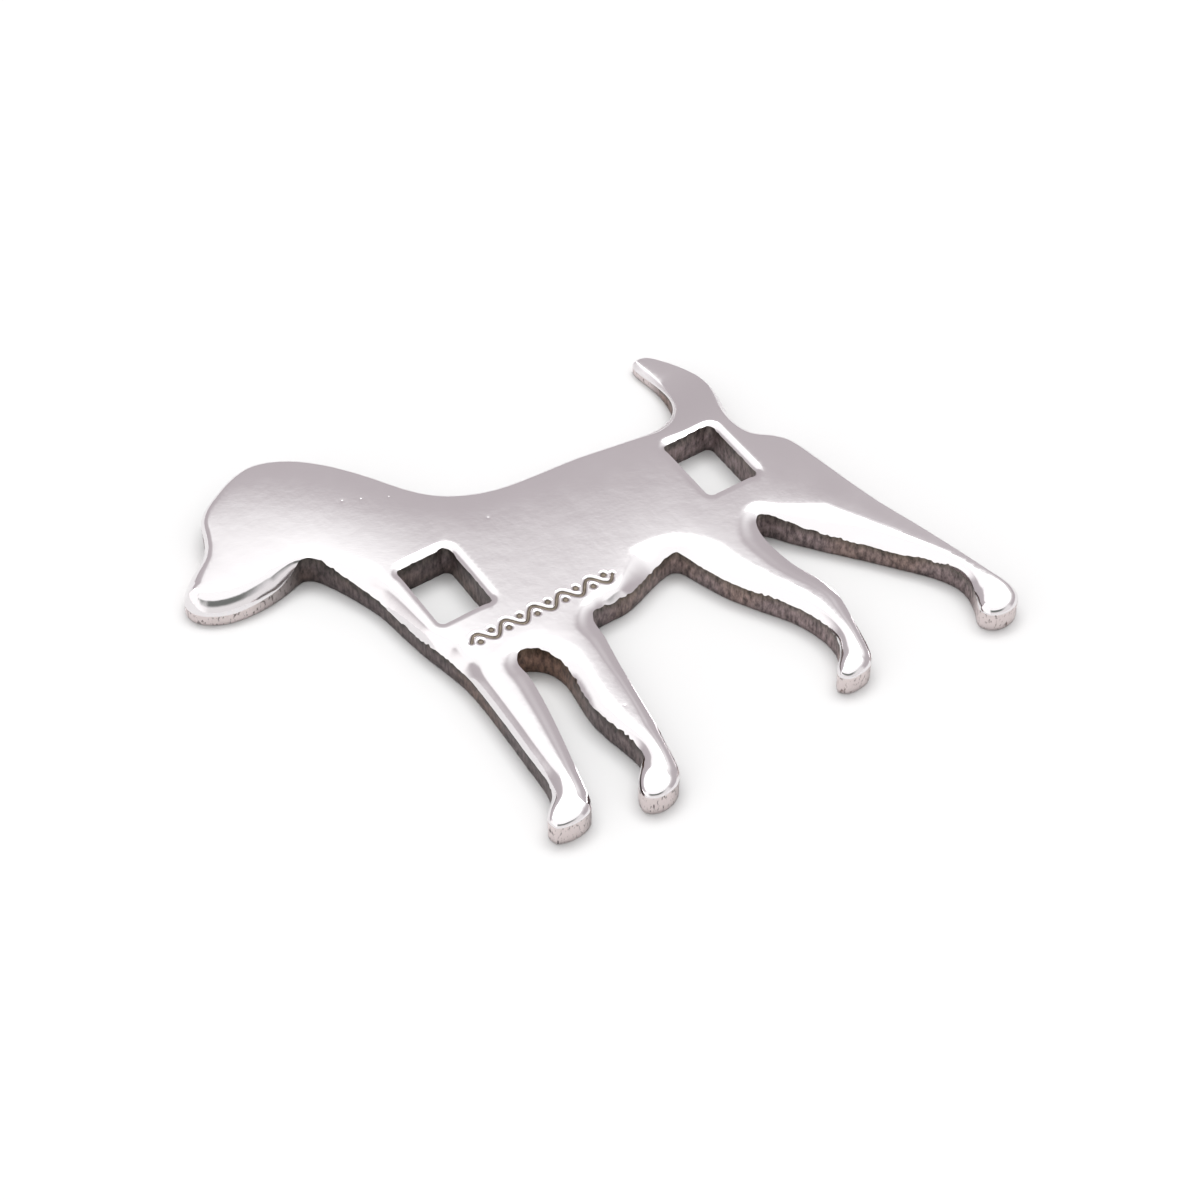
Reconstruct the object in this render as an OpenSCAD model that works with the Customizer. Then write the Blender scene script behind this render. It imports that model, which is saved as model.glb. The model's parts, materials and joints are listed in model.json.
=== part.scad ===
// Dog pendant: a dog in outline, cut from one piece of stainless sheet.
// Polishing has rolled the front edges over, more on the nose, paws and tail than in the corners.
// Two slots take a flat strap, and a wave border is engraved along the side.
// The plate lies on its back: X along the body towards the tail, Y up the dog, Z out of the front face.

/* [Plate] */
// Length over the nose and the hind paw
plate_l = 44; // [36:0.1:54]
// Height over the crown and the front paw
plate_h = 37.1; // [30:0.1:46]
// Thickness of the sheet
plate_t = 2.5; // [2:0.1:4]

/* [Edges] */
// Width of the rolled front edge, where the plate is wide enough for it
roll_w = 1.3; // [0.5:0.05:1.8]
// Height of cut wall left square under the deepest roll
wall_left = 0.4; // [0.2:0.05:1]
// Thickness at the tip of the tail, which is ground thinner than the sheet
tail_tip_t = 1.3; // [0.8:0.05:2]
// Broken edge round the back face
back_break = 0.1; // [0.05:0.01:0.2]

/* [Strap slots] */
// Slot size along the body
slot_w = 3.85; // [3:0.05:5]
// Slot size up the dog
slot_h = 5.45; // [4:0.05:6.6]
// Radius of the slot corners
slot_r = 0.45; // [0.2:0.05:1]
// Width of the softened front rim of a slot
slot_roll_w = 0.5; // [0.2:0.05:1]
// Depth of the softened front rim of a slot
slot_roll_d = 0.5; // [0.1:0.05:0.8]

/* [Engraved border] */
// Length of the wave between its round ends
border_l = 10.4; // [6:0.1:13]
// Height of the wave between the centres of its crests and troughs
border_h = 0.9; // [0.4:0.05:1.2]
// Whole waves in the border
border_waves = 5; // [2:1:6]
// Width of the engraved line
border_stroke = 0.22; // [0.15:0.01:0.4]
// Diameter of the dots in the hollows of the wave
border_dot = 0.4; // [0.2:0.02:0.5]
// Depth of the engraving
border_depth = 0.15; // [0.05:0.01:0.3]

/* [Hidden] */
$fn = 48;

// Smoothness of the outline, the rolled edge, the wave and the slots' corners and mouths
span_steps = 2;
roll_steps = 4;
wave_steps = 16;
corner_step = 15;
mouth_steps = 4;
// Width of a shallow rolled edge for its depth
roll_round = 1.1;
// Share of the room inside the outline that a rolled edge may take, and how fast its width may change
roll_share = 0.9;
roll_slope = 0.45;
// Cutters run this far past the faces they cut
over = 0.5;
// A slot's mouth starts this far inside the slot, so that the two surfaces cross
mouth_lead = 0.05;
// Distances below this count as touching
touch = 0.000001;
// The border's round ends are this much fuller than its line, so that the two shapes overlap
end_swell = 0.01;
// Share of the wave over which its direction is taken
wave_nudge = 0.001;

// Outline at the nominal size, counter-clockwise from the nose.
// Each point is [along the body, up the dog, depth of the rolled edge there].
nose_and_jaw = [
    [-22.45, 13.35, 1.6], [-22.3, 12.35, 1.6], [-21.5, 11.55, 1.6], [-20.2, 11, 1.6],
    [-18.6, 10.87, 1.5], [-17, 11.03, 1.35], [-15.7, 11.36, 0.9]
];
throat_and_chest = [
    [-14.95, 11.53, 0.3], [-14.4, 11.27, 0.2], [-13.85, 10.4, 0.4], [-13, 8.35, 0.8], [-12.4, 6.4, 1.05],
    [-12.1, 4.2, 1.15], [-11.8, 2, 1.1], [-11.35, -0.1, 1.05], [-11.05, -2, 1]
];
leading_front_leg = [
    [-11.06, -5, 1], [-11.25, -9, 1], [-11.4, -11.4, 1], [-11.75, -12.55, 1],
    [-12.45, -13.3, 0.95], [-13, -14.05, 0.9], [-12.85, -14.8, 0.9], [-12, -15.1, 0.9],
    [-11, -15.05, 0.9], [-10.25, -14.65, 0.95],
    [-9.92, -13.7, 0.7], [-9.48, -11.6, 0.5], [-8.8, -8.7, 0.45], [-8.2, -5.65, 0.45]
];
front_arch = [
    [-8.05, -4.2, 0.4], [-8.1, -3.2, 0.35], [-7.6, -2.5, 0.3], [-6.75, -2.8, 0.3], [-6.1, -3.5, 0.4]
];
trailing_front_leg = [
    [-5.76, -4.7, 0.55], [-5.9, -6.3, 0.65], [-6.1, -8.3, 0.65], [-5.85, -10.5, 0.65],
    [-5.55, -12.3, 0.7], [-5.7, -13.25, 0.75], [-6.4, -13.9, 0.85], [-7.05, -14.8, 0.9],
    [-7.2, -15.7, 0.9], [-6.6, -16.2, 0.9], [-5.7, -16.25, 0.9], [-4.8, -15.85, 0.95],
    [-4.2, -14.9, 0.85], [-3.9, -13.2, 0.6], [-3.4, -9.9, 0.45], [-2.88, -6.6, 0.45], [-2.4, -4.1, 0.45]
];
belly = [
    [-2.25, -2.75, 0.45], [-1.8, -2.15, 0.5], [-0.7, -2.02, 0.75], [0.6, -2, 0.8], [1.9, -1.68, 0.85],
    [3.2, -1.18, 0.85], [4.4, -0.82, 0.7], [5.1, -0.82, 0.5], [5.5, -1.25, 0.6]
];
leading_hind_leg = [
    [5.95, -2.55, 0.75], [6.7, -4.5, 0.8], [7.9, -6.65, 0.85], [9, -8.55, 0.85], [9.6, -10.5, 0.85],
    [9.6, -12, 0.9], [9.1, -13.05, 0.95], [8.35, -13.8, 1], [8, -14.5, 1], [8.45, -14.98, 1],
    [9.3, -15.06, 1], [10.2, -14.8, 1], [10.75, -14.1, 0.85],
    [10.95, -13, 0.6], [11.32, -11.1, 0.45], [11.66, -9.3, 0.45], [11.42, -7.6, 0.45], [10.88, -5.95, 0.45],
    [10.62, -4.2, 0.45]
];
hind_crotch = [[10.62, -2.6, 0.45], [10.9, -1.6, 0.4], [11.35, -1.2, 0.35], [11.9, -1.55, 0.35]];
trailing_hind_leg = [
    [12.7, -2.7, 0.55], [14.1, -4.55, 0.85], [15.8, -6.62, 1], [17.4, -8.68, 1], [18.6, -10.3, 0.95],
    [19.25, -11.6, 0.9], [19.35, -12.8, 0.9], [18.95, -14.05, 0.95], [18.55, -14.95, 1],
    [18.85, -15.65, 1], [19.6, -16, 1], [20.55, -15.92, 1], [21.25, -15.4, 1],
    [21.47, -14.5, 0.95], [21.02, -13, 0.75], [20.4, -10.85, 0.6], [19.48, -7.4, 0.55], [18.67, -4.4, 0.6]
];
rump = [
    [18.17, -1.6, 0.7], [17.75, 1.1, 0.8], [17.2, 3.3, 0.75], [16.3, 4.6, 0.75], [15.5, 5.4, 0.75],
    [15.15, 6.4, 0.8]
];
tail = [
    [15.2, 7.6, 0.9], [15.6, 9.1, 1.05], [15.93, 10.7, 1.2], [15.92, 12.3, 1.4], [15.5, 13.75, 1.6],
    [14.9, 15, 1.75], [14.3, 15.85, 1.85], [13.65, 16.12, 1.9], [13.1, 15.9, 1.9], [12.97, 15.3, 1.9],
    [13.08, 14.4, 1.85], [13.2, 13.3, 1.75], [13.18, 12.2, 1.55], [12.98, 11.2, 1.3], [12.55, 10.3, 1.1],
    [11.9, 9.6, 0.9]
];
back_and_neck = [
    [11, 9.2, 0.8], [9.6, 9.09, 0.8], [7.3, 9.35, 0.8], [4.5, 9.77, 0.8], [1.5, 9.98, 0.8], [-1, 10.24, 0.8],
    [-3, 10.83, 0.75], [-4.7, 11.83, 0.7], [-6, 13.3, 0.7], [-7.3, 15.38, 0.7], [-8.7, 17.38, 0.7],
    [-10.3, 19.17, 0.75], [-12, 20.35, 0.8]
];
crown_and_brow = [
    [-13.7, 20.79, 0.8], [-15.3, 20.45, 0.8], [-16.7, 19.75, 0.8], [-17.9, 18.95, 0.8],
    [-18.6, 18.05, 0.75], [-18.95, 17.1, 0.75], [-19.4, 16.1, 0.8], [-20, 15.47, 1],
    [-20.95, 14.95, 1.3], [-21.85, 14.28, 1.5]
];
drawing = concat(
    nose_and_jaw, throat_and_chest, leading_front_leg, front_arch, trailing_front_leg, belly,
    leading_hind_leg, hind_crotch, trailing_hind_leg, rump, tail, back_and_neck, crown_and_brow
);

// Where the tail starts to taper, where it has its least thickness, and the width that the taper is cut over
taper_start = [14, 6.6];
taper_end = [14, 13];
taper_w = 6;

// Centres of the slots and of the border on the same drawing
front_slot = [-8.62, 4.61];
rear_slot = [11.44, 4.4];
border_at = [-4.5, -0.35];

// Closed smooth curve through the drawn points
function knot(a, b) = sqrt(norm([b[0] - a[0], b[1] - a[1]]));
function curve_at(p1, m1, p2, m2, u) =
    (2 * u ^ 3 - 3 * u ^ 2 + 1) * p1 + (u ^ 3 - 2 * u ^ 2 + u) * m1
    + (3 * u ^ 2 - 2 * u ^ 3) * p2 + (u ^ 3 - u ^ 2) * m2;
function span(p0, p1, p2, p3) =
    let (
        t1 = knot(p0, p1),
        t2 = knot(p1, p2),
        t3 = knot(p2, p3),
        m1 = ((p1 - p0) / t1 - (p2 - p0) / (t1 + t2) + (p2 - p1) / t2) * t2,
        m2 = ((p2 - p1) / t2 - (p3 - p1) / (t2 + t3) + (p3 - p2) / t3) * t2
    )
    [for (k = [0 : span_steps - 1]) curve_at(p1, m1, p2, m2, k / span_steps)];
function closed_curve(pts) =
    let (n = len(pts))
    [for (i = [0 : n - 1]) each span(pts[(i + n - 1) % n], pts[i], pts[(i + 1) % n], pts[(i + 2) % n])];

// The drawing is stretched to the plate's length and height and centred on the origin
curve = closed_curve(drawing);
low = [for (axis = [0, 1]) min([for (p = curve) p[axis]])];
high = [for (axis = [0, 1]) max([for (p = curve) p[axis]])];
stretch = [plate_l / (high[0] - low[0]), plate_h / (high[1] - low[1])];
function placed(p) = [for (axis = [0, 1]) (p[axis] - (low[axis] + high[axis]) / 2) * stretch[axis]];
outline = [for (p = curve) placed(p)];
count = len(outline);
last = count - 1;

// Outward direction at each point of the outline
function outward(i) =
    let (along = outline[(i + 1) % count] - outline[(i + last) % count])
    [along[1], -along[0]] / norm(along);
outwards = [for (i = [0 : last]) outward(i)];

// Radius of the largest circle inside the outline that touches it at point i
function room(i) = min([
    for (q = outline)
        let (v = q - outline[i], depth = -v * outwards[i])
        if (depth > touch) v * v / (2 * depth)
]);

// Width and depth of the rolled edge: shallow rolls, narrow parts and tight tips limit the width
free_widths = [for (i = [0 : last]) min(roll_w, roll_round * curve[i][2], roll_share * room(i))];
function eased_width(i) = min([
    for (j = [0 : last]) free_widths[j] + roll_slope * norm(outline[j] - outline[i])
]);
roll_widths = [for (i = [0 : last]) eased_width(i)];
roll_depths = [for (p = curve) min(p[2], plate_t - back_break - wall_left)];

// Rings of the plate, from the back face up to the front face.
// The roll is a quarter of an ellipse: level with the front face inside, upright where it meets the cut wall.
function flat_ring(inset, z) = [for (i = [0 : last]) concat(outline[i] - inset * outwards[i], z)];
function roll_ring(share) = [
    for (i = [0 : last])
        concat(outline[i] - share * roll_widths[i] * outwards[i],
               plate_t - roll_depths[i] * (1 - sqrt(1 - (1 - share) ^ 2)))
];
plate_rings = concat(
    [flat_ring(back_break, 0), flat_ring(0, back_break)],
    [for (k = [0 : roll_steps]) roll_ring((k / roll_steps) ^ 2)]
);

// Rings of the flared mouth that softens a slot's front rim
function corner_arc(grow, z, quarter) =
    let (
        r = slot_r + grow,
        side = [quarter == 0 || quarter == 3 ? 1 : -1, quarter < 2 ? 1 : -1],
        reach = [slot_w / 2 - slot_r, slot_h / 2 - slot_r]
    )
    [for (a = [0 : corner_step : 90])
        [side[0] * reach[0] + r * cos(90 * quarter + a), side[1] * reach[1] + r * sin(90 * quarter + a), z]];
function slot_ring(grow, z) = [for (quarter = [0 : 3]) each corner_arc(grow, z, quarter)];
mouth_rings = concat(
    [slot_ring(-mouth_lead, plate_t - slot_roll_d - mouth_lead)],
    [for (k = [1 : mouth_steps])
        slot_ring(slot_roll_w * k / mouth_steps, plate_t - slot_roll_d * (1 - k / mouth_steps) ^ 2)],
    [slot_ring(slot_roll_w, plate_t + over)]
);

// Flat polygon cut into triangles, one ear at a time
function twice_area(a, b, c) = (b[0] - a[0]) * (c[1] - a[1]) - (b[1] - a[1]) * (c[0] - a[0]);
function in_triangle(p, a, b, c) =
    twice_area(a, b, p) >= 0 && twice_area(b, c, p) >= 0 && twice_area(c, a, p) >= 0;
function corner_of(left, i) = let (n = len(left)) [left[(i + n - 1) % n], left[i], left[(i + 1) % n]];
function is_ear(ring, left, i) =
    let (t = corner_of(left, i), a = ring[t[0]], b = ring[t[1]], c = ring[t[2]])
    twice_area(a, b, c) > touch
    && len([for (k = left) if (k != t[0] && k != t[1] && k != t[2] && in_triangle(ring[k], a, b, c)) k]) == 0;
function first_ear(ring, left, i) =
    i >= len(left) - 1 || is_ear(ring, left, i) ? i : first_ear(ring, left, i + 1);
function ears(ring, left, done) =
    len(left) == 3 ? concat(done, [left]) :
    let (i = first_ear(ring, left, 0))
    ears(ring, [for (k = [0 : len(left) - 1]) if (k != i) left[k]], concat(done, [corner_of(left, i)]));
function flat_triangles(ring) = ears(ring, [for (i = [0 : len(ring) - 1]) i], []);

// Closed solid through a stack of rings with equal numbers of points
module ring_solid(rings) {
    n = len(rings[0]);
    top = len(rings) - 1;
    sides = [
        for (k = [0 : top - 1], i = [0 : n - 1])
            let (a = k * n + i, b = k * n + (i + 1) % n)
            each [[a, a + n, b + n], [a, b + n, b]]
    ];
    floor_faces = flat_triangles(rings[0]);
    roof_faces = [for (t = flat_triangles(rings[top])) [t[2] + top * n, t[1] + top * n, t[0] + top * n]];
    polyhedron([for (ring = rings) each ring], concat(sides, floor_faces, roof_faces));
}

// One strap slot: a straight hole with round corners and a flared mouth
module strap_slot() {
    translate([0, 0, -over]) linear_extrude(plate_t + 2 * over) {
        square([slot_w, slot_h - 2 * slot_r], center = true);
        square([slot_w - 2 * slot_r, slot_h], center = true);
        for (sx = [-1, 1], sy = [-1, 1])
            translate([sx * (slot_w / 2 - slot_r), sy * (slot_h / 2 - slot_r)]) circle(slot_r);
    }
    ring_solid(mouth_rings);
}

// Engraved border: a wave line with a dot in each hollow
function wave_point(u) = [border_l * (u - 0.5), border_h / 2 * sin(360 * border_waves * u)];
function wave_side(u, offset_by) =
    let (along = wave_point(u + wave_nudge) - wave_point(u - wave_nudge))
    wave_point(u) + offset_by * [-along[1], along[0]] / norm(along);
module engraved_border() {
    steps = border_waves * wave_steps;
    half = border_stroke / 2;
    linear_extrude(border_depth + over) {
        polygon(concat(
            [for (k = [0 : steps]) wave_side(k / steps, -half)],
            [for (k = [steps : -1 : 0]) wave_side(k / steps, half)]
        ));
        for (u = [0, 1]) translate(wave_point(u)) circle(half + end_swell);
    }
    for (k = [0 : 2 * border_waves - 1]) {
        crest = wave_point((k + 0.5) / (2 * border_waves));
        translate([crest[0], -crest[1] / 2, 0]) cylinder(h = border_depth + over, d = border_dot);
    }
}

// Cutter that thins the tail: a slope down from the back, then a level cut over the tip
module tail_taper() {
    start = placed(taper_start);
    level = placed(taper_end)[1] - start[1];
    translate(start) rotate([90, 0, 90]) linear_extrude(taper_w, center = true)
        polygon([
            [0, plate_t], [level, tail_tip_t], [plate_h / 2, tail_tip_t],
            [plate_h / 2, plate_t + over], [0, plate_t + over]
        ]);
}

module dog_plate() {
    color("silver") difference() {
        ring_solid(plate_rings);
        for (at = [front_slot, rear_slot]) translate(placed(at)) strap_slot();
        translate(concat(placed(border_at), plate_t - border_depth)) engraved_border();
        tail_taper();
    }
}

dog_plate();
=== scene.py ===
import json
import math

import bpy
import numpy as np
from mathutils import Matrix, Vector, geometry, kdtree


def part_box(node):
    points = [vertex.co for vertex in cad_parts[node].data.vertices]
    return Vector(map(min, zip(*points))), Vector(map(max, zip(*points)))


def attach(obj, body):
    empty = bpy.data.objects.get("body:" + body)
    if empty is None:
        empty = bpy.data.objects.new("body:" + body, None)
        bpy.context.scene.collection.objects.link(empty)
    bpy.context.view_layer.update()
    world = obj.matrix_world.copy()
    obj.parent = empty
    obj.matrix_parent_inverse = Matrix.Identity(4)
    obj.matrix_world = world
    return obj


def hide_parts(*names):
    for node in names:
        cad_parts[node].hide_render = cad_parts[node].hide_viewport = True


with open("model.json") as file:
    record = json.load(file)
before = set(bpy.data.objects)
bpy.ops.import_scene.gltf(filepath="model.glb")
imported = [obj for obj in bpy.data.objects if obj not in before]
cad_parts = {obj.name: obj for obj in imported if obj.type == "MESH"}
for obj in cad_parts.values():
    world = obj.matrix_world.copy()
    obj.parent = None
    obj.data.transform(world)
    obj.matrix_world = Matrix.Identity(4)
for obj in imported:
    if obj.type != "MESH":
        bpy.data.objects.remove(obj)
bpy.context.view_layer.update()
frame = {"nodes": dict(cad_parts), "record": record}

# Blank. The pendant is one blank of stainless sheet, cut by a beam to a dog's outline and laid on its back.
# The outline and the height of its cut wall are read off the frame's plate and drawn again as a fine smooth
# curve. Sizes in this file are in millimetres until the mesh is made.
MM = 0.001
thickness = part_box("dog_plate")[1].z / MM
back_break = 0.1
same_height = 0.002
edge_step = 0.07
edge_inset = 0.016
curve_parts = 24


def plate_corners_and_edges(plate):
    """The frame plate's corner points, each once, and its edges between them."""
    corners = np.empty(len(plate.data.vertices) * 3)
    plate.data.vertices.foreach_get("co", corners)
    corners, place = np.unique(np.round(corners.reshape(-1, 3) / MM, 4), axis=0, return_inverse=True)
    edges = np.empty(len(plate.data.edges) * 2, int)
    plate.data.edges.foreach_get("vertices", edges)
    return corners, place.reshape(-1)[edges].reshape(-1, 2)


def outline_with_rim(corners, edges):
    """The outline in order, counter-clockwise, as rows of x, y and the height where the cut wall ends."""
    at_foot = np.abs(corners[:, 2] - back_break) < same_height
    beside = {}
    for a, b in edges[at_foot[edges].all(axis=1)]:
        beside.setdefault(a, []).append(b)
        beside.setdefault(b, []).append(a)
    start = max(beside, key=lambda i: corners[i, 1])
    walk = [start, beside[start][0]]
    while walk[-1] != start:
        a, b = dict.fromkeys(beside[walk[-1]])
        walk.append(b if a == walk[-2] else a)
    foot = corners[walk[:-1]]
    rims = {}
    for x, y, z in corners[corners[:, 2] > 2 * back_break]:
        rims[x, y] = min(z, rims.get((x, y), thickness))
    rows = np.array([(x, y, rims[x, y]) for x, y, _ in foot])
    turn = np.roll(rows, -1, axis=0)
    area = np.sum(rows[:, 0] * turn[:, 1] - turn[:, 0] * rows[:, 1])
    return rows if area > 0 else rows[::-1]


def smooth_closed(rows, step):
    """Points every step along a closed smooth curve through rows, measured in its first two columns."""
    p0, p1, p2, p3 = (np.roll(rows, k, axis=0) for k in (1, 0, -1, -2))
    t1, t2, t3 = (
        np.sqrt(np.linalg.norm((b - a)[:, :2], axis=1))[:, None] for a, b in ((p0, p1), (p1, p2), (p2, p3))
    )
    m1 = ((p1 - p0) / t1 - (p2 - p0) / (t1 + t2) + (p2 - p1) / t2) * t2
    m2 = ((p2 - p1) / t2 - (p3 - p1) / (t2 + t3) + (p3 - p2) / t3) * t2
    shares = [
        (2 * u**3 - 3 * u**2 + 1) * p1 + (u**3 - 2 * u**2 + u) * m1
        + (3 * u**2 - 2 * u**3) * p2 + (u**3 - u**2) * m2
        for u in np.arange(curve_parts) / curve_parts
    ]
    fine = np.stack(shares, axis=1).reshape(-1, rows.shape[1])
    fine = np.vstack([fine, fine[:1]])
    along = np.concatenate([[0], np.cumsum(np.linalg.norm(np.diff(fine[:, :2], axis=0), axis=1))])
    count = int(along[-1] / step)
    wanted = np.arange(count) * along[-1] / count
    return np.stack([np.interp(wanted, along, column) for column in fine.T], axis=1), wanted


def inward_normals(loop):
    """Unit normals that point into a counter-clockwise loop."""
    ahead = np.roll(loop, -1, axis=0) - np.roll(loop, 1, axis=0)
    ahead /= np.linalg.norm(ahead, axis=1)[:, None]
    return np.stack([-ahead[:, 1], ahead[:, 0]], axis=1)


edge_rows, edge_along = smooth_closed(
    outline_with_rim(*plate_corners_and_edges(frame["nodes"]["dog_plate"])), edge_step
)
edge_in = inward_normals(edge_rows[:, :2])
edge = edge_rows[:, :2] + edge_inset * edge_in
edge_rim = edge_rows[:, 2]
edge_length = edge_along[-1] + edge_step

# Tumbled front. Tumbling has pillowed the front of the blank a little. The nose and the paws, which stand
# out, are worn thinner, and the tail is ground down towards its tip.
# Each tip is its place, how far its wear reaches and how deep it goes.
nose_tip = (-21.6, 10.6, 6.5, 0.12)
paw_places = [(-11.8, -17.0), (-6.2, -18.1), (9.0, -16.9), (20.0, -17.9)]
paw_reach = 2.2
paw_worn = 0.3
tail_tip = (13.6, 13.3, 2.8, 0.0)
tips = [nose_tip, *((x, y, paw_reach, paw_worn) for x, y in paw_places), tail_tip]
tail_base = (10.5, 12.6)
tail_taper = (4.6, 11.0)
tail_thinned = 1.2
pillow_step = 0.2
pillow_rounds = [(2.5, 0.26), (0.8, 0.1)]
pillow_spread = 3


def smooth_step(low, high, value):
    """0 below low, 1 above high, and a smooth rise between them."""
    u = np.clip((value - low) / (high - low), 0, 1)
    return u * u * (3 - 2 * u)


def tip_share(plan, tip):
    """How near each point is to a tip: 1 on it, 0 well away from it."""
    x, y, reach, _ = tip
    return np.exp(-((np.linalg.norm(plan - (x, y), axis=1) / reach) ** 2))


def pillow_grid():
    """How far tumbling has lowered the front on a grid over the plate, and the grid's first corner."""
    margin = pillow_spread * pillow_rounds[0][0]
    low = edge.min(axis=0) - margin
    counts = np.ceil((edge.max(axis=0) + margin - low) / pillow_step).astype(int)
    across = low[0] + pillow_step * np.arange(counts[0])
    ahead = np.roll(edge, -1, axis=0)
    inside = np.empty(counts)
    for row in range(counts[1]):
        y = low[1] + pillow_step * row
        spans = (edge[:, 1] > y) != (ahead[:, 1] > y)
        a, b = edge[spans], ahead[spans]
        cross = a[:, 0] + (y - a[:, 1]) / (b[:, 1] - a[:, 1]) * (b[:, 0] - a[:, 0])
        inside[:, row] = (across[:, None] > cross).sum(axis=1) % 2
    lowered = np.zeros(counts)
    for reach, depth in pillow_rounds:
        half = int(pillow_spread * reach / pillow_step)
        weights = np.exp(-((np.arange(-half, half + 1) * pillow_step / reach) ** 2) / 2)
        soft = inside
        for axis in (0, 1):
            soft = np.apply_along_axis(np.convolve, axis, soft, weights / weights.sum(), "same")
        lowered += depth * (1 - soft)
    return lowered, low


pillow, pillow_low = pillow_grid()


def pillow_at(plan):
    """How far tumbling has lowered the front at each point, read off the grid as a cubic spline."""
    at = (plan - pillow_low) / pillow_step
    cell = np.floor(at).astype(int)
    u = at - cell
    shares = ((1 - u) ** 3, 3 * u**3 - 6 * u**2 + 4, -3 * u**3 + 3 * u**2 + 3 * u + 1, u**3)
    lowered = np.zeros(len(plan))
    for i, share_x in enumerate(shares):
        for j, share_y in enumerate(shares):
            corner = pillow[cell[:, 0] + i - 1, cell[:, 1] + j - 1]
            lowered += share_x[:, 0] * share_y[:, 1] / 36 * corner
    return lowered


def worn_top(plan):
    """Height of the front before engraving and rounding: tumbled, worn at the tips, thinned on the tail."""
    worn = sum(tip[3] * tip_share(plan, tip) for tip in tips)
    thinned = tail_thinned * smooth_step(*tail_taper, plan[:, 1]) * smooth_step(*tail_base, plan[:, 0])
    return thickness - pillow_at(plan) - worn - thinned


# Strap slots. Two upright slots are cut through the plate for a flat strap, with small round corners.
# Their front rims are softened, most on the sides towards the back and the tail, and ragged on the side
# towards the back. Their walls keep the streaks of the cut.
slot_size = np.array([3.85, 5.45])
slot_corner = 0.45
slot_step = 0.06
corner_points = 13
slot_roll_width = 0.42
slot_roll_drop = 0.05
back_side_width = 0.2
back_side_drop = 0.14
tail_side_width = 0.14
tail_side_drop = 0.25
side_turn = (0.0, 0.9)
corner_blend = 0.5
slot_bend = 1.9
slot_shares = np.array([0, 0.04, 0.1, 0.18, 0.3, 0.45, 0.6, 0.8, 1.0])
slot_seeds = {"front_slot": 100, "rear_slot": 200}
least_bite = 0.01
tooth_deep = 0.11
tooth_fine = 0.22
tooth_broad = 0.8
tooth_lift = 0.35
tooth_patchy = 0.4
tooth_swell = 0.2
teeth_all_round = 0.1
teeth_on_back_side = 0.9
teeth_on_tail_side = 0.3
wall_shares = np.array([0.06, 0.14, 0.28, 0.45, 0.62, 0.8, 1.0])
wall_inset = 0.012
rim_settles = (0, 0.3)
streak_deep = 0.05
streak_fine = 0.2
streak_broad = 0.7
streak_torn = 0.3
streak_lag = 0.2
torn_drift = 5.3
torn_part = (0.3, 0.8)
fine_weight, broad_weight, torn_weight = 0.4, 0.25, 0.3
points, point_values = [], []
faces, face_finish = [], []
FRONT, WALL, GROOVE, BACK = range(4)


def add_points(plan, height, along=0.0, wear=0.0, down=0.0, coarse=0.0):
    """Stores points with what the finishes need to know about them, and returns their numbers."""
    first = sum(len(block) for block in points)
    points.append(np.column_stack([plan, height]))
    values = (along, wear, down, coarse)
    point_values.append(np.column_stack([np.broadcast_to(value, len(plan)) for value in values]))
    return np.arange(first, first + len(plan))


def add_strip(lower, upper, finish):
    """Joins two closed rings, counter-clockwise seen from the front, by a belt of four-sided faces."""
    belt = np.stack([lower, np.roll(lower, -1), np.roll(upper, -1), upper], axis=1)
    faces.extend(belt.tolist())
    face_finish.extend([finish] * len(belt))


def ripple(along, length, period, seed):
    """Smooth random values from -1 to 1 along a closed edge, with about one knot per period."""
    knots = max(4, round(length / period))
    values = np.random.default_rng(seed).uniform(-1, 1, knots)
    at = along / length * knots
    i = np.floor(at).astype(int)
    u = at - i
    u = u * u * (3 - 2 * u)
    return values[i % knots] * (1 - u) + values[(i + 1) % knots] * u


def wall_streaks(along, length, share, seed):
    """How far the cut wall lies inside the outline at a share of its height below the rim."""
    lag = streak_lag * share**2
    fine = 1 + ripple(along + lag, length, streak_fine, seed)
    broad = 1 + ripple(along + lag, length, streak_broad, seed + 1)
    torn = 1 + ripple(along + torn_drift * share, length, streak_torn, seed + 2)
    deep = fine_weight * fine + broad_weight * broad + torn_weight * torn * smooth_step(*torn_part, share)
    return streak_deep * deep / (2 * (fine_weight + broad_weight + torn_weight))


def rim_teeth(along, length, seed):
    """How far the cut wall's ragged upper rim bites into the front."""
    fine = ripple(along, length, tooth_fine, seed + 3)
    broad = ripple(along, length, tooth_broad, seed + 4)
    teeth = np.clip(tooth_lift + (1 - tooth_lift) * fine, 0, 1)
    return tooth_deep * (teeth * (1 - tooth_patchy + tooth_patchy * broad) + tooth_swell * (1 + broad))


def blurred(values, reach, step):
    """Values every step along a closed edge, each averaged with its neighbours within about the reach."""
    half = int(3 * reach / step)
    weights = np.exp(-((np.arange(-half, half + 1) * step / reach) ** 2))
    wrapped = np.concatenate([values[-half:], values, values[:half]])
    return np.convolve(wrapped, weights / weights.sum(), "valid")


def slot_loop():
    """Points round a slot's wall about its centre, counter-clockwise, with their places along it."""
    reach = slot_size / 2 - slot_corner
    loop = []
    for quarter, side in enumerate(((1, 1), (-1, 1), (-1, -1), (1, -1))):
        for bend in np.linspace(quarter, quarter + 1, corner_points) * math.pi / 2:
            loop.append(reach * side + slot_corner * np.array([math.cos(bend), math.sin(bend)]))
    closed = np.array(loop + loop[:1])
    along = np.concatenate([[0], np.cumsum(np.linalg.norm(np.diff(closed, axis=0), axis=1))])
    count = int(along[-1] / slot_step)
    wanted = np.arange(count) * along[-1] / count
    return np.stack([np.interp(wanted, along, closed[:, k]) for k in (0, 1)], axis=1), wanted, along[-1]


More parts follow.
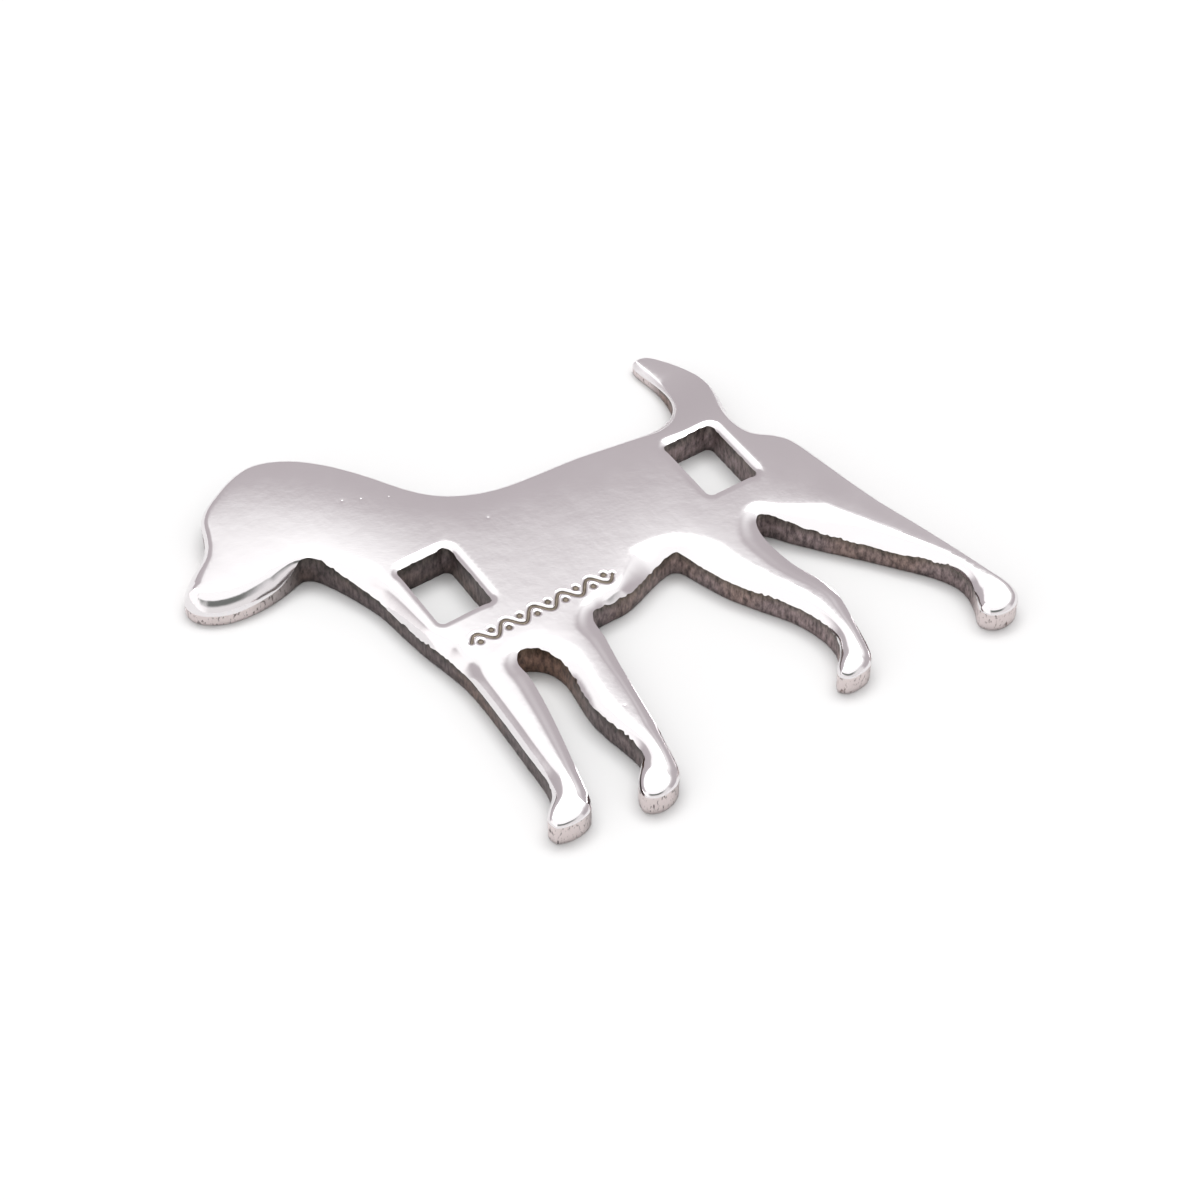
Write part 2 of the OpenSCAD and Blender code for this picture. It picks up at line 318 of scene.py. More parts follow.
slot_mouths, slot_feet, slot_rims = [], [], []
slot_wall, slot_along, slot_length = slot_loop()
slot_out = -inward_normals(slot_wall)
back_side = blurred(smooth_step(*side_turn, slot_out[:, 1]), corner_blend, slot_step)
tail_side = blurred(smooth_step(*side_turn, slot_out[:, 0]), corner_blend, slot_step)
slot_width = slot_roll_width + np.maximum(back_side_width * back_side, tail_side_width * tail_side)
slot_drop = slot_roll_drop + np.maximum(back_side_drop * back_side, tail_side_drop * tail_side)
slot_ragged = teeth_all_round + teeth_on_back_side * back_side + teeth_on_tail_side * tail_side
for name, seed in slot_seeds.items():
    mount = next(m for m in frame["record"]["mounts"] if m["name"] == name)
    centre = np.array(mount["pos_m"][:2]) / MM
    slot_bite = least_bite + rim_teeth(slot_along, slot_length, seed) * slot_ragged
    rim_share = slot_bite / slot_width
    rings = []
    for step in slot_shares:
        share = rim_share + (1 - rim_share) * step
        plan = centre + slot_wall + slot_out * (share * slot_width)[:, None]
        rings.append(add_points(plan, worn_top(plan) - slot_drop * (1 - share) ** slot_bend, slot_along))
    for inner, outer in zip(rings, rings[1:]):
        add_strip(outer, inner, FRONT)
    upper = rings[0]
    top = np.concatenate(points)[upper, 2]
    for share in wall_shares:
        settle = smooth_step(*rim_settles, share)
        inset = wall_inset + wall_streaks(slot_along, slot_length, share, seed)
        plan = centre + slot_wall + slot_out * (slot_bite * (1 - settle) + inset * settle)[:, None]
        lower = add_points(plan, top * (1 - share), slot_along, down=share)
        add_strip(upper, lower, WALL)
        upper = lower
    slot_mouths.append(rings[-1])
    slot_rims.append(rings[0])
    slot_feet.append(upper)

# Engraved border. A running wave with a dot in each hollow is cut a little way into the dog's side.
# The cut has steep sides, and its floor keeps a brown stain.
border_centre = np.array([-4.014, -2.605])
border_length = 10.4
border_height = 0.9
border_waves = 5
border_stroke = 0.22
border_dot = 0.4
border_depth = 0.13
groove_slope = 0.05
wave_parts = 300
dot_parts = 24
cap_points = 9
stain_dark = (0.05, 0.04, 0.03, 1)
stain_pale = (0.2, 0.165, 0.13, 1)

wave_along = np.linspace(0, 1, wave_parts + 1)
wave_line = np.column_stack([
    border_length * (wave_along - 0.5),
    border_height / 2 * np.sin(2 * math.pi * border_waves * wave_along),
]) + border_centre
crests = (np.arange(2 * border_waves) + 0.5) / (2 * border_waves)
dot_centres = np.column_stack([
    border_length * (crests - 0.5),
    -border_height / 4 * np.sin(2 * math.pi * border_waves * crests),
]) + border_centre


def nearest(plan, loop):
    """For each point, the distance to the nearest point of a loop."""
    tree = kdtree.KDTree(len(loop))
    for number, place in enumerate(loop):
        tree.insert((place[0], place[1], 0), number)
    tree.balance()
    return np.array([tree.find((place[0], place[1], 0))[2] for place in plan])


def groove_depth(plan):
    """How deep the engraving is at points of the front face."""
    to_line = nearest(plan, wave_line) - border_stroke / 2
    to_dot = nearest(plan, dot_centres) - border_dot / 2
    return border_depth * smooth_step(groove_slope, -groove_slope, np.minimum(to_line, to_dot))


def groove_points():
    """Points along both sides of the wave line and round the dots, close enough to hold their edges."""
    wave_normal = np.gradient(wave_line, axis=0)
    wave_normal = np.column_stack([-wave_normal[:, 1], wave_normal[:, 0]])
    wave_normal /= np.linalg.norm(wave_normal, axis=1)[:, None]
    half = border_stroke / 2
    offsets = np.array([0, half - groove_slope, half, half + groove_slope, half + 3 * groove_slope])
    out = [wave_line + side * offset * wave_normal for offset in offsets for side in (1, -1)][1:]
    turns = np.linspace(0, 2 * math.pi, dot_parts, endpoint=False)
    ring = np.column_stack([np.cos(turns), np.sin(turns)])
    for offset in (-2.5 * groove_slope, -groove_slope, 0, groove_slope, 3 * groove_slope):
        out += [centre + (border_dot / 2 + offset) * ring for centre in dot_centres]
    for end, way in ((wave_line[0], math.pi), (wave_line[-1], 0)):
        caps = np.linspace(way - math.pi / 2, way + math.pi / 2, cap_points)
        for offset in offsets[1:]:
            out.append(end + offset * np.column_stack([np.cos(caps), np.sin(caps)]))
    return np.vstack(out + [dot_centres])


def node_adder(tree):
    """A function that adds a node to a tree, with its settings and the links into it."""

    def add(kind, settings=None, **links):
        node = tree.nodes.new(kind)
        for key, value in (settings or {}).items():
            if isinstance(key, str) and hasattr(node, key):
                setattr(node, key, value)
            else:
                node.inputs[key].default_value = value
        for key, source in links.items():
            target = int(key[3:]) if key.startswith("in_") and key[3:].isdigit() else key
            tree.links.new(source, node.inputs[target])
        return node

    return add


def new_finish(name):
    """A material with its tree, its shader and a function that adds nodes to it."""
    finish = bpy.data.materials.new(name)
    finish.use_nodes = True
    tree = finish.node_tree
    return finish, tree, tree.nodes["Principled BSDF"], node_adder(tree)


engraved_stain, tree, shader, add = new_finish("engraved_stain")
shader.inputs["Metallic"].default_value = 0.7
shader.inputs["Roughness"].default_value = 0.5
place = add("ShaderNodeTexCoord").outputs["Object"]
stain = add("ShaderNodeTexNoise", {"Scale": 2500.0, "Detail": 2.0}, Vector=place)
ramp = add("ShaderNodeValToRGB", Fac=stain.outputs["Fac"])
ramp.color_ramp.elements[0].color = stain_dark
ramp.color_ramp.elements[1].color = stain_pale
tree.links.new(ramp.outputs["Color"], shader.inputs["Base Color"])

# Buffed front edge. A wheel has rounded the front of the plate where it could reach: the nose, the paws,
# the tail and the upper side. The legs slope gently on the side towards the tail, the front shin has a flat
# facet, and in the recesses the face only slopes down to a ragged cut rim.
brow = (-18.9, 14.2, 2.6, 0.0)
widest_roll = 1.3
widest_slope = 2.2
round_width = 1.05
slope_width = 3.4
side_width = 5.0
side_bend = 2.2
facet_width = 1.0
recess_cut = math.radians(70)
open_cut = math.radians(30)
roll_share_of_room = 0.85
roll_slope = 0.45
roll_blend = 0.2
roll_shares = 1 - np.cos(np.linspace(0, math.pi / 2, 14))
slot_clear = 0.15
border_clear = 0.35
upper_turn = (-0.3, 0.0)
open_room = (1.5, 4.0)
tail_turn = (0.5, 0.85)
tail_turn_blend = 0.6
leg_height = (1, -1)
standing_wear = (0.15, 0.5)
buffed_blend = 1.0
buffed_bite = 0.95
shin_height = (-3, -9)
shin_front = (-9, -9.8)
shin_turn = (0.5, 0.9)
shin_blend = 0.5
tail_rise = (tail_taper[0], tail_taper[0] + 2)
coarse_part = (1.0, 0.4)
edge_seed = 1
rows_at_once = 256
no_limit = 1e3
tiny = 1e-6


def room_inside(loop, inward):
    """Radius at each point of the largest circle on the inward side that touches the loop there."""
    room = np.empty(len(loop))
    for first in range(0, len(loop), rows_at_once):
        rows = slice(first, first + rows_at_once)
        across = loop[None, :, :] - loop[rows, None, :]
        depth = np.einsum("ijk,ik->ij", across, inward[rows])
        square = np.einsum("ijk,ijk->ij", across, across)
        room[rows] = np.where(depth > tiny, square / (2 * np.maximum(depth, tiny)), no_limit).min(axis=1)
    return room


def eased(width, loop, slope):
    """The width cut down so that it changes slowly from point to point."""
    out = np.empty(len(loop))
    for first in range(0, len(loop), rows_at_once):
        rows = slice(first, first + rows_at_once)
        away = np.linalg.norm(loop[None, :, :] - loop[rows, None, :], axis=2)
        out[rows] = (width[None, :] + slope * away).min(axis=1)
    return out


def on_tail(plan):
    """1 on the tail and 0 on the rest of the plate."""
    return smooth_step(*tail_base, plan[:, 0]) * smooth_step(*tail_rise, plan[:, 1])


def roll_fall(share, cut):
    """Share of a buffed edge's drop at a share of its width: an ellipse, cut off before it is upright."""
    across = (1 - share) * np.cos(cut)
    return (1 - np.sqrt(1 - across**2)) / (1 - np.sin(cut))


edge_room = room_inside(edge, edge_in)
edge_wear = np.max([tip_share(edge, tip) for tip in tips], axis=0)
upper_side = smooth_step(*upper_turn, -edge_in[:, 1]) * smooth_step(*open_room, room_inside(edge, -edge_in))
tail_facing = blurred(smooth_step(*tail_turn, -edge_in[:, 0]), tail_turn_blend, edge_step)
right_side = tail_facing * smooth_step(*leg_height, edge[:, 1])
standing_out = smooth_step(*standing_wear, np.maximum(edge_wear, tip_share(edge, brow)))
buffed = np.max([upper_side, standing_out, on_tail(edge), tail_facing - right_side], axis=0)
buffed = blurred(buffed, buffed_blend, edge_step)
edge_drop = worn_top(edge) - edge_rim
on_front_shin = smooth_step(*shin_height, edge[:, 1]) * smooth_step(*shin_front, edge[:, 0])
facet = blurred(on_front_shin * smooth_step(*shin_turn, edge_in[:, 0]), shin_blend, edge_step)
gentle = slope_width + (side_width - slope_width) * right_side + (facet_width - slope_width) * facet
roll_room = np.minimum(
    widest_slope + (widest_roll - widest_slope) * buffed,
    edge_drop * (gentle + (round_width - gentle) * buffed),
)
roll_room = np.minimum(roll_room, roll_share_of_room * edge_room)
for mouth in slot_mouths:
    roll_room = np.minimum(roll_room, nearest(edge, np.concatenate(points)[mouth, :2]) - slot_clear)
to_border = nearest(edge, np.vstack([wave_line, dot_centres]))
roll_room = np.minimum(roll_room, to_border - border_clear)
roll_widths = blurred(eased(roll_room, edge, roll_slope), roll_blend, edge_step)
roll_widths = np.minimum(roll_widths, roll_share_of_room * edge_room)
edge_cut = recess_cut + (open_cut - recess_cut) * buffed
edge_bite = least_bite + rim_teeth(edge_along, edge_length, edge_seed)
edge_bite *= 1 - buffed_bite * np.maximum(buffed, right_side)
front_rings = []
for step in roll_shares:
    share = edge_bite / roll_widths * (1 - step) + step
    plan = edge + edge_in * (share * roll_widths)[:, None]
    top = worn_top(plan)
    fall = roll_fall(share, edge_cut)
    fall += right_side * (1 - buffed) * ((1 - share) ** side_bend - fall)
    fall += facet * (1 - buffed) * (1 - share - fall)
    height = top - (top - edge_rim) * fall
    coarse = on_tail(plan) * smooth_step(*coarse_part, share)
    front_rings.append(add_points(plan, height, edge_along, edge_wear, coarse=coarse))
for lower, upper in zip(front_rings, front_rings[1:]):
    add_strip(lower, upper, FRONT)

# Cut wall. The beam left upright streaks with a brown oxide. The colour is darker and greener just under
# the rim, darker at the head and lighter towards the hind legs, and warmer and lighter in the arch between
# the front legs. On the tips the wall is rubbed, and its pinkish grey there is partly rubbed steel and
# partly a painted reflection. The back edge is broken with a file.
foot_inset = back_break + 0.05
streaks_rubbed = 0.5
oxide_dark = (0.05, 0.038, 0.038, 1)
oxide_pale = (0.26, 0.2, 0.2, 1)
warm_colour = (1.0, 0.92, 0.8, 1)
under_rim_colour = (0.45, 0.5, 0.42, 1)
arch_tint = (1.4, 1.12, 0.85, 1)
# Pinkish grey on the rubbed tips: partly rubbed steel, partly a painted reflection.
rubbed_reflection_colour = (0.72, 0.64, 0.63, 1)
streak_stretch = 350.0
front_arch = (-7.0 * MM, -5.6 * MM, 1.2 * MM)
arch_reach = {"From Min": 2.2 * MM, "From Max": 5.0 * MM, "To Min": 1.0, "To Max": 0.0}
lighter_towards_hind = {"From Min": -16 * MM, "From Max": 8 * MM, "To Min": 0.6, "To Max": 1.7}

rim_height = np.concatenate(points)[front_rings[0], 2]
upper = front_rings[0]
for share in wall_shares:
    streaks = wall_streaks(edge_along, edge_length, share, edge_seed)
    inset = wall_inset + streaks * (1 - streaks_rubbed * edge_wear)
    settle = smooth_step(*rim_settles, share)
    plan = edge + edge_in * (edge_bite * (1 - settle) + inset * settle)[:, None]
    height = rim_height + (back_break - rim_height) * share
    lower = add_points(plan, height, edge_along, edge_wear, down=share)
    add_strip(lower, upper, WALL)
    upper = lower
foot_plan = edge + edge_in * foot_inset
back_edge = add_points(foot_plan, np.zeros(len(edge)), edge_along, edge_wear, down=1.0)
add_strip(back_edge, upper, WALL)

cut_wall, tree, shader, add = new_finish("cut_wall")


def tinted(share, colour, tint):
    """A colour multiplied by a tint, as far as the share goes."""
    return add("ShaderNodeMix", {"data_type": "RGBA", "blend_type": "MULTIPLY", 7: tint},
               in_0=share, in_6=colour).outputs[2]


shader.inputs["Metallic"].default_value = 0.65
shader.inputs["Roughness"].default_value = 0.42
along = add("ShaderNodeAttribute", {"attribute_name": "along"}).outputs["Fac"]
wear = add("ShaderNodeAttribute", {"attribute_name": "wear"}).outputs["Fac"]
down = add("ShaderNodeAttribute", {"attribute_name": "down"}).outputs["Fac"]
place = add("ShaderNodeTexCoord").outputs["Object"]
parts = add("ShaderNodeSeparateXYZ", Vector=place).outputs
lifted = add("ShaderNodeMath", {"operation": "MULTIPLY", 1: streak_stretch}, in_0=parts["Z"])
grain_place = add("ShaderNodeCombineXYZ", X=along, Y=lifted.outputs["Value"]).outputs["Vector"]
grain = add("ShaderNodeTexNoise", {"Scale": 3.5, "Detail": 4.0, "Roughness": 0.65}, Vector=grain_place)
ramp = add("ShaderNodeValToRGB", Fac=grain.outputs["Fac"])
ramp.color_ramp.elements[0].position = 0.35
ramp.color_ramp.elements[0].color = oxide_dark
ramp.color_ramp.elements[1].position = 0.72
ramp.color_ramp.elements[1].color = oxide_pale
patch = add("ShaderNodeTexNoise", {"Scale": 160.0, "Detail": 1.0}, Vector=place)
warm = add("ShaderNodeMapRange", {"From Min": 0.56, "From Max": 0.7}, Value=patch.outputs["Fac"])
oxide = tinted(warm.outputs["Result"], ramp.outputs["Color"], warm_colour)
# Darker and greener in the upper part of the wall, just under the rim.
under_rim = add("ShaderNodeMapRange", {"From Max": 0.4, "To Min": 1.0, "To Max": 0.0}, Value=down)
tinted_under_rim = tinted(under_rim.outputs["Result"], oxide, under_rim_colour)
# The wall's colour is scaled darker at the head and lighter towards the hind legs.
hind_lightness = add("ShaderNodeMapRange", lighter_towards_hind, Value=parts["X"])
lightened = add("ShaderNodeVectorMath", {"operation": "SCALE"}, in_0=tinted_under_rim, Scale=hind_lightness.outputs["Result"])
# Warmer and lighter round the arch between the front legs.
from_arch = add("ShaderNodeVectorMath", {"operation": "DISTANCE", 1: front_arch}, in_0=place)
near_arch = add("ShaderNodeMapRange", arch_reach, Value=from_arch.outputs["Value"])
arch_tinted = tinted(near_arch.outputs["Result"], lightened.outputs["Vector"], arch_tint)
nicks = add("ShaderNodeTexNoise", {"Scale": 5.0, "Detail": 3.0, "Roughness": 0.6}, Vector=grain_place)
clean = add("ShaderNodeMapRange", {"From Min": 0.33, "From Max": 0.45}, Value=nicks.outputs["Fac"])
# On the tips the wall's colour goes to the pinkish grey: rubbed steel with a painted reflection in it.
on_tip = add("ShaderNodeMapRange", {"From Min": 0.3, "From Max": 0.75}, Value=wear)
worn = add("ShaderNodeMath", {"operation": "MULTIPLY"},
           in_0=on_tip.outputs["Result"], in_1=clean.outputs["Result"])
rubbed_with_reflection = add("ShaderNodeMix", {"data_type": "RGBA", 7: rubbed_reflection_colour},
             in_0=worn.outputs["Value"], in_6=arch_tinted)
tree.links.new(rubbed_with_reflection.outputs[2], shader.inputs["Base Color"])
bump = add("ShaderNodeBump", {"Strength": 0.3, "Distance": 0.05 * MM}, Height=grain.outputs["Fac"])
tree.links.new(bump.outputs["Normal"], shader.inputs["Normal"])

# Front face. It lies between the buffed edge and the slots' mouths, and takes in the border. It is stainless
# steel, tumbled to a soft gloss and faintly clouded, rougher along the tail's edge, with a few tiny dents.
face_step = 0.24
row_share = 0.866
own_clear = 0.6
ring_clear = 0.07
merge_within = 1e-6
dent_depth = 0.01
dents = [
    (-2.8, 5.7, 0.07), (-9.6, -9.1, 0.04), (-4.1, -11.9, 0.05), (-9.8, 12.1, 0.05), (-8.7, 11.6, 0.04),
    (-7.1, 10.8, 0.05),
]
dent_rings = (0.4, 0.8, 1.3, 2.0)
dent_parts = 12
front_colour = (0.80, 0.775, 0.785, 1)
coarse_roughness = 0.3


def inside_loop(plan, loop):
    """Whether each point lies inside a closed loop."""
    ahead = np.roll(loop, -1, axis=0)
    climb = np.where(ahead[:, 1] == loop[:, 1], 1e-9, ahead[:, 1] - loop[:, 1])
    spans = (loop[:, 1] > plan[:, 1:]) != (ahead[:, 1] > plan[:, 1:])
    cross = loop[:, 0] + (plan[:, 1:] - loop[:, 1]) / climb * (ahead[:, 0] - loop[:, 0])
    return (spans & (plan[:, :1] < cross)).sum(axis=1) % 2 == 1


def fill_between(rings, extra, height_of, finish_of, flip):
    """Triangles across the area inside the first ring and outside the slots, through the extra points."""
    everything = np.concatenate(points)
    numbers = np.concatenate(rings)
    plan = np.vstack([everything[numbers, :2], extra])
    links, first = [], 0
    for ring in rings:
        links += [(first + k, first + (k + 1) % len(ring)) for k in range(len(ring))]
        first += len(ring)
    corners = [Vector(place) for place in plan]
    _, _, triangles, origin, _, _ = geometry.delaunay_2d_cdt(corners, links, [], 1, merge_within)
    triangles = np.array([[origin[k][0] for k in triangle] for triangle in triangles])
    middle = plan[triangles].mean(axis=1)
    keep = np.ones(len(middle), bool)
    for ring in rings[1:]:
        mouth = everything[ring, :2]
        close = np.flatnonzero(((middle > mouth.min(axis=0)) & (middle < mouth.max(axis=0))).all(axis=1))
        keep[close] = ~inside_loop(middle[close], mouth)
    triangles, middle = triangles[keep], middle[keep]
    used = np.unique(triangles[triangles >= first])
    number_of = np.concatenate([numbers, np.zeros(len(extra), int)])
    if len(used):
        number_of[used] = add_points(plan[used], height_of(plan[used]))
    triangles = number_of[triangles]
    faces.extend((triangles[:, ::-1] if flip else triangles).tolist())
    face_finish.extend(finish_of(middle))


def face_height(plan):
    """Height of the front face: worn and crowned towards the outline, engraved and dented."""
    height = worn_top(plan) - groove_depth(plan)
    for x, y, size in dents:
        height -= dent_depth * np.exp(-(np.linalg.norm(plan - (x, y), axis=1) / size) ** 2)
    return height


def face_points():
    """A triangular grid over the face, opened up round the border and the dents for their own points."""
    low, high = edge.min(axis=0), edge.max(axis=0)
    columns = np.arange(low[0], high[0], face_step)
    x, y = np.meshgrid(columns, np.arange(low[1], high[1], face_step * row_share))
    x[1::2] += face_step / 2
    grid = np.column_stack([x.ravel(), y.ravel()])
    turns = np.linspace(0, 2 * math.pi, dent_parts, endpoint=False)
    circle = np.column_stack([np.cos(turns), np.sin(turns)])
    dented = [np.array((x, y)) + size * r * circle for x, y, size in dents for r in dent_rings]
    for own in (groove_points(), np.vstack(dented)):
        grid = np.vstack([grid[nearest(grid, own) > own_clear * face_step], own])
    everything = np.concatenate(points)
    for ring in (front_rings[-1], *slot_mouths):
        grid = grid[nearest(grid, everything[ring, :2]) > ring_clear]
    return grid


def face_finish_at(middle):
    """Groove finish in the engraving, front finish elsewhere."""
    return np.where(groove_depth(middle) > border_depth / 2, GROOVE, FRONT).tolist()


fill_between([front_rings[-1], *slot_mouths], face_points(), face_height, face_finish_at, flip=False)

tumbled_steel, tree, shader, add = new_finish("tumbled_steel")
shader.inputs["Metallic"].default_value = 1.0
shader.inputs["Base Color"].default_value = front_colour
place = add("ShaderNodeTexCoord").outputs["Object"]
cloud = add("ShaderNodeTexNoise", {"Scale": 600.0, "Detail": 6.0, "Roughness": 0.6}, Vector=place)
gloss = add("ShaderNodeMapRange", {"From Min": 0.3, "From Max": 0.7, "To Min": 0.07, "To Max": 0.12},
            Value=cloud.outputs["Fac"])
coarse = add("ShaderNodeAttribute", {"attribute_name": "coarse"}).outputs["Fac"]
rough = add("ShaderNodeMath", {"operation": "MULTIPLY_ADD", 1: coarse_roughness},
            in_0=coarse, in_2=gloss.outputs["Result"])
tree.links.new(rough.outputs["Value"], shader.inputs["Roughness"])
waves = add("ShaderNodeBump", {"Strength": 1.0, "Distance": 0.01 * MM}, Height=cloud.outputs["Fac"])
tree.links.new(waves.outputs["Normal"], shader.inputs["Normal"])

# Back face. Flat stainless sheet as it came from the mill, with a fine lengthwise grain.
# The slots are open through it, and the pendant lies on it.
back_colour = (0.7, 0.68, 0.68, 1)
grain_stretch = (300.0, 9000.0, 300.0)

fill_between([back_edge, *slot_feet], np.empty((0, 2)), None, lambda middle: [BACK] * len(middle), flip=True)

mill_back, tree, shader, add = new_finish("mill_back")
shader.inputs["Base Color"].default_value = back_colour
shader.inputs["Metallic"].default_value = 1.0
place = add("ShaderNodeTexCoord").outputs["Object"]
stretched = add("ShaderNodeMapping", {"Scale": grain_stretch}, Vector=place)
grain = add("ShaderNodeTexNoise", {"Scale": 1.0, "Detail": 3.0}, Vector=stretched.outputs["Vector"])
gloss = add("ShaderNodeMapRange", {"To Min": 0.24, "To Max": 0.42}, Value=grain.outputs["Fac"])
tree.links.new(gloss.outputs["Result"], shader.inputs["Roughness"])

# Plate. The front, the walls, the border and the back are all one piece of steel, so they become one closed
# mesh, with hard lines along the cut rims and the back edge. It takes the place of the frame's plate.
mesh = bpy.data.meshes.new("dog_plate_polished")
mesh.from_pydata((np.concatenate(points) * MM).tolist(), [], faces)
mesh.polygons.foreach_set("material_index", face_finish)
mesh.polygons.foreach_set("use_smooth", [True] * len(faces))
for name, values in zip(("along", "wear", "down", "coarse"), np.concatenate(point_values).T):
    mesh.attributes.new(name, "FLOAT", "POINT").data.foreach_set("value", np.ascontiguousarray(values))
hard_lines = set()
for ring in (front_rings[0], back_edge, *slot_rims):
    hard_lines |= {tuple(sorted(pair)) for pair in zip(ring.tolist(), np.roll(ring, -1).tolist())}
pairs = np.empty(len(mesh.edges) * 2, int)
mesh.edges.foreach_get("vertices", pairs)
sharp = [tuple(sorted(pair)) in hard_lines for pair in pairs.reshape(-1, 2).tolist()]
mesh.attributes.new("sharp_edge", "BOOLEAN", "EDGE").data.foreach_set("value", sharp)
mesh.update()
dog = bpy.data.objects.new("dog_plate_polished", mesh)
bpy.context.scene.collection.objects.link(dog)
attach(dog, "root")
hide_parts("dog_plate")
finishes = {FRONT: tumbled_steel, WALL: cut_wall, GROOVE: engraved_stain, BACK: mill_back}
for number in sorted(finishes):
    dog.data.materials.append(finishes[number])

# Table. A plain pale sheet that the pendant lies on. It is white to the camera and in the steel, and keeps
# the soft shadow.
table_half = 1.5
sheet_plain = (0.5, 0.5, 0.5, 1)
sheet_bright = (0.575, 0.575, 0.575, 1)

table_mesh = bpy.data.meshes.new("table")
table_corners = [(x * table_half, y * table_half, 0) for x, y in ((-1, -1), (1, -1), (1, 1), (-1, 1))]
table_mesh.from_pydata(table_corners, [], [(0, 1, 2, 3)])
table = bpy.data.objects.new("table", table_mesh)
bpy.context.scene.collection.objects.link(table)
white_sheet, tree, shader, add = new_finish("white_sheet")
tree.nodes.remove(shader)
rays = add("ShaderNodeLightPath").outputs
seen = rays["Is Camera Ray"]
for ray in ("Is Glossy Ray", "Is Transmission Ray"):
    seen = add("ShaderNodeMath", {"operation": "MAXIMUM"}, in_0=seen, in_1=rays[ray]).outputs["Value"]
plain = add("ShaderNodeBsdfDiffuse", {"Color": sheet_plain})
bright = add("ShaderNodeBsdfDiffuse", {"Color": sheet_bright})
either = add("ShaderNodeMixShader", in_0=seen, in_1=plain.outputs["BSDF"], in_2=bright.outputs["BSDF"])
tree.links.new(either.outputs["Shader"], tree.nodes["Material Output"].inputs["Surface"])
table.data.materials.append(white_sheet)

# Light. A white tent over the table, bright overhead, with a lamp high at the back and a white side at the
# front left. Its walls behind and to the right are a lilac grey. At the front it has a dark opening above a
# white card. Each bound is a pair of shares of the direction between which two parts of the tent blend.
view_turn = math.radians(33.5)
to_camera = (-math.sin(view_turn), -math.cos(view_turn), 0)
to_left = (-math.cos(view_turn), math.sin(view_turn), 0)
white = (1, 1, 1, 1)
cloth_colour = (1.25, 1.25, 1.25, 1)
lamp_colour = (9.0, 9.0, 9.0, 1)
left_colour = (1.3, 1.28, 1.28, 1)
wall_low_colour = (0.56, 0.515, 0.535, 1)
wall_high_colour = (0.61, 0.565, 0.585, 1)
card_colour = (0.95, 0.93, 0.93, 1)
right_of_opening_colour = (0.95, 0.93, 0.94, 1)
opening_colour = (0.2, 0.21, 0.2, 1)
near_bound = (0.1, 0.3)
left_bound = (0.15, 0.42)
left_end_bound = (-0.15, 0.2)
wall_bound = (-0.05, 0.7)
opening_bound = (-0.85, -0.55)
card_bound = (0.22, 0.36)
right_bound = (-0.1, -0.5)
right_tent_bound = (0.42, 0.83)
far_tent_bound = (0.695, 0.81)
far_tent_tilt = 0.2
tilt_from = -0.08
near_tent_bound = (0.57, 0.65)
lamp_far_bound = (0.1, -0.35)
lamp_up_bound = (0.8, 0.9)

world = bpy.data.worlds.new("tent")
bpy.context.scene.world = world
world.use_nodes = True
tree = world.node_tree
tree.nodes.clear()
add = node_adder(tree)


def toward(direction):
    """How far the tent's place lies towards a direction, from -1 to 1."""
    return add("ShaderNodeVectorMath", {"operation": "DOT_PRODUCT", 1: direction}, in_0=way).outputs["Value"]


def rise(value, bound):
    """A smooth step from 0 to 1 as the value goes from one end of the bound to the other."""
    low, high = bound
    return add("ShaderNodeMapRange", {"interpolation_type": "SMOOTHSTEP", "From Min": low, "From Max": high},
               Value=value).outputs["Result"]


def mixed(share, first, second):
    """A blend of two colours or colour outputs."""
    node = add("ShaderNodeMix", {"data_type": "RGBA"}, in_0=share)
    for socket, colour in ((6, first), (7, second)):
        if isinstance(colour, tuple):
            node.inputs[socket].default_value = colour
        else:
            tree.links.new(colour, node.inputs[socket])
    return node.outputs[2]


def product(first, second):
    """Two values multiplied."""
    return add("ShaderNodeMath", {"operation": "MULTIPLY"}, in_0=first, in_1=second).outputs["Value"]


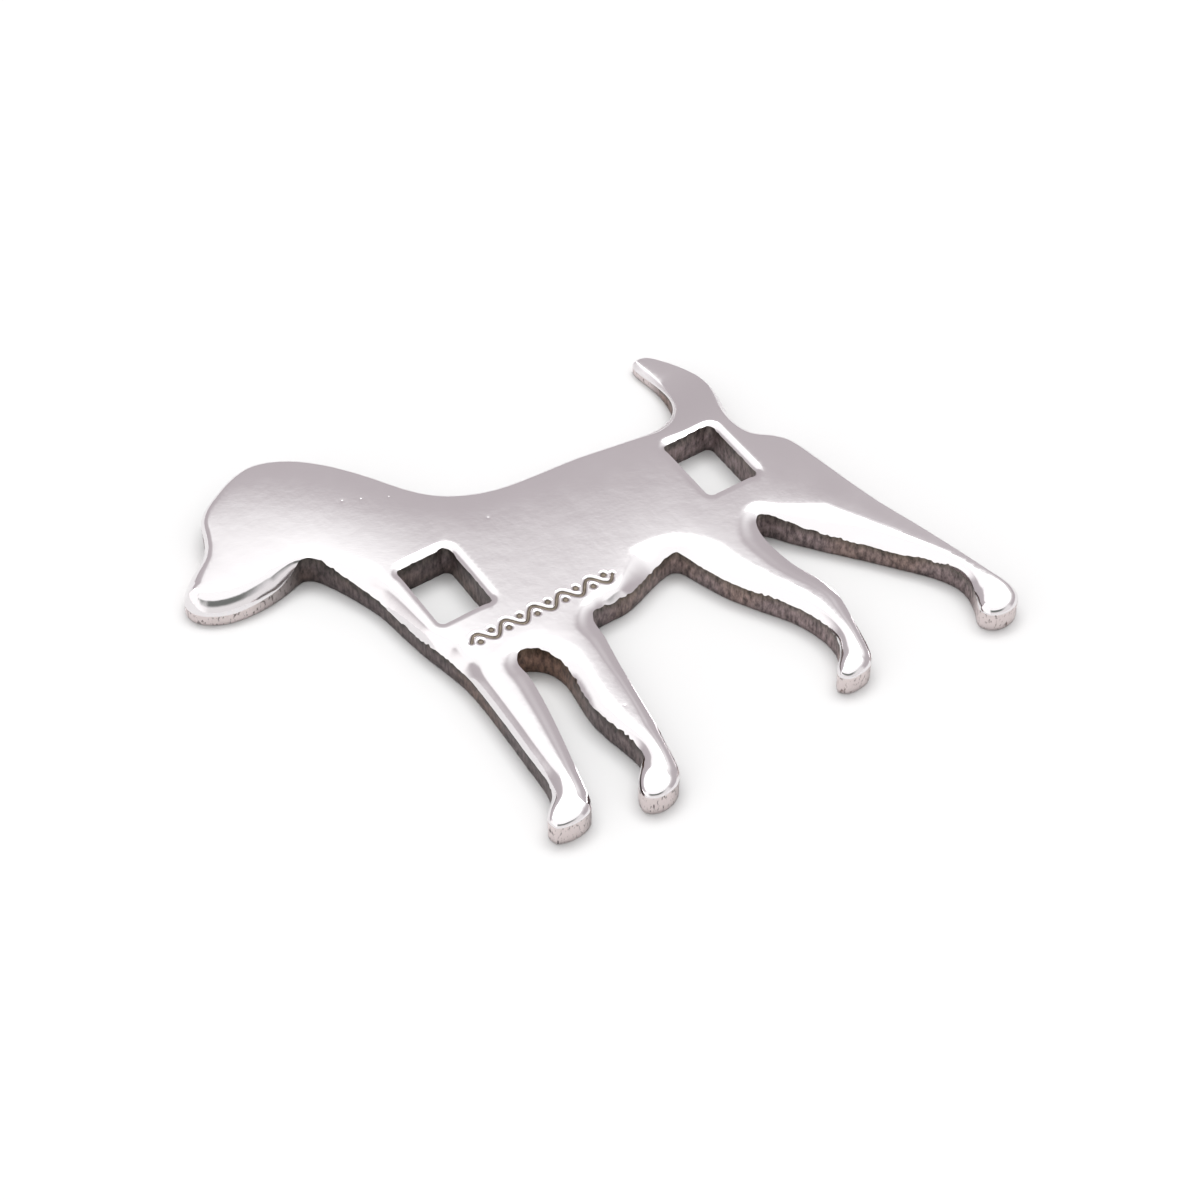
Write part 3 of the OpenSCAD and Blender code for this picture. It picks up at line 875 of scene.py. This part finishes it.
way = add("ShaderNodeTexCoord").outputs["Generated"]
up = add("ShaderNodeSeparateXYZ", Vector=way).outputs["Z"]
near = toward(to_camera)
left = toward(to_left)
near_side = rise(near, near_bound)
left_side = product(rise(left, left_bound), rise(near, left_end_bound))
walls = mixed(rise(up, wall_bound), wall_low_colour, wall_high_colour)
opening = mixed(rise(left, opening_bound), right_of_opening_colour, opening_colour)
near_wall = mixed(rise(up, card_bound), card_colour, opening)
to_the_left = add("ShaderNodeMath", {"operation": "MAXIMUM", 1: tilt_from}, in_0=left).outputs["Value"]
tilted = add("ShaderNodeMath", {"operation": "MULTIPLY_ADD", 1: far_tent_tilt}, in_0=to_the_left, in_2=up)
right_tent = product(rise(left, right_bound), rise(up, right_tent_bound))
far_tent = add("ShaderNodeMath", {"operation": "MAXIMUM"},
               in_0=rise(tilted.outputs["Value"], far_tent_bound), in_1=right_tent).outputs["Value"]
lamp = product(rise(near, lamp_far_bound), rise(up, lamp_up_bound))
overhead = mixed(lamp, cloth_colour, lamp_colour)
far_half = mixed(far_tent, walls, overhead)
near_half = mixed(rise(up, near_tent_bound), near_wall, overhead)
tent = mixed(left_side, mixed(near_side, far_half, near_half), left_colour)
shown = mixed(add("ShaderNodeLightPath").outputs["Is Camera Ray"], tent, white)
light = add("ShaderNodeBackground", Color=shown)
add("ShaderNodeOutputWorld", Surface=light.outputs["Background"])

# Camera. A long lens above and in front of the pendant, at the photograph's viewing angle, turned so that
# the dog runs across the frame.
view_rise = math.radians(48.5)
view_distance = 208.9
view_target = np.array([0.494, -2.255, 0.0])
image_width = 1200
lens_pixels = 3300

camera_data = bpy.data.cameras.new("camera")
camera_data.sensor_width = 36
camera_data.angle = 2 * math.atan(image_width / 2 / lens_pixels)
camera_data.clip_start = 0.005
camera_data.clip_end = 20
camera = bpy.data.objects.new("camera", camera_data)
bpy.context.scene.collection.objects.link(camera)
back_along_view = np.array([*(math.cos(view_rise) * np.array(to_camera[:2])), math.sin(view_rise)])
camera.location = (view_target + view_distance * back_along_view) * MM
camera.rotation_euler = Vector(-back_along_view).to_track_quat("-Z", "Y").to_euler()
bpy.context.scene.camera = camera
bpy.context.scene.view_settings.view_transform = "Standard"
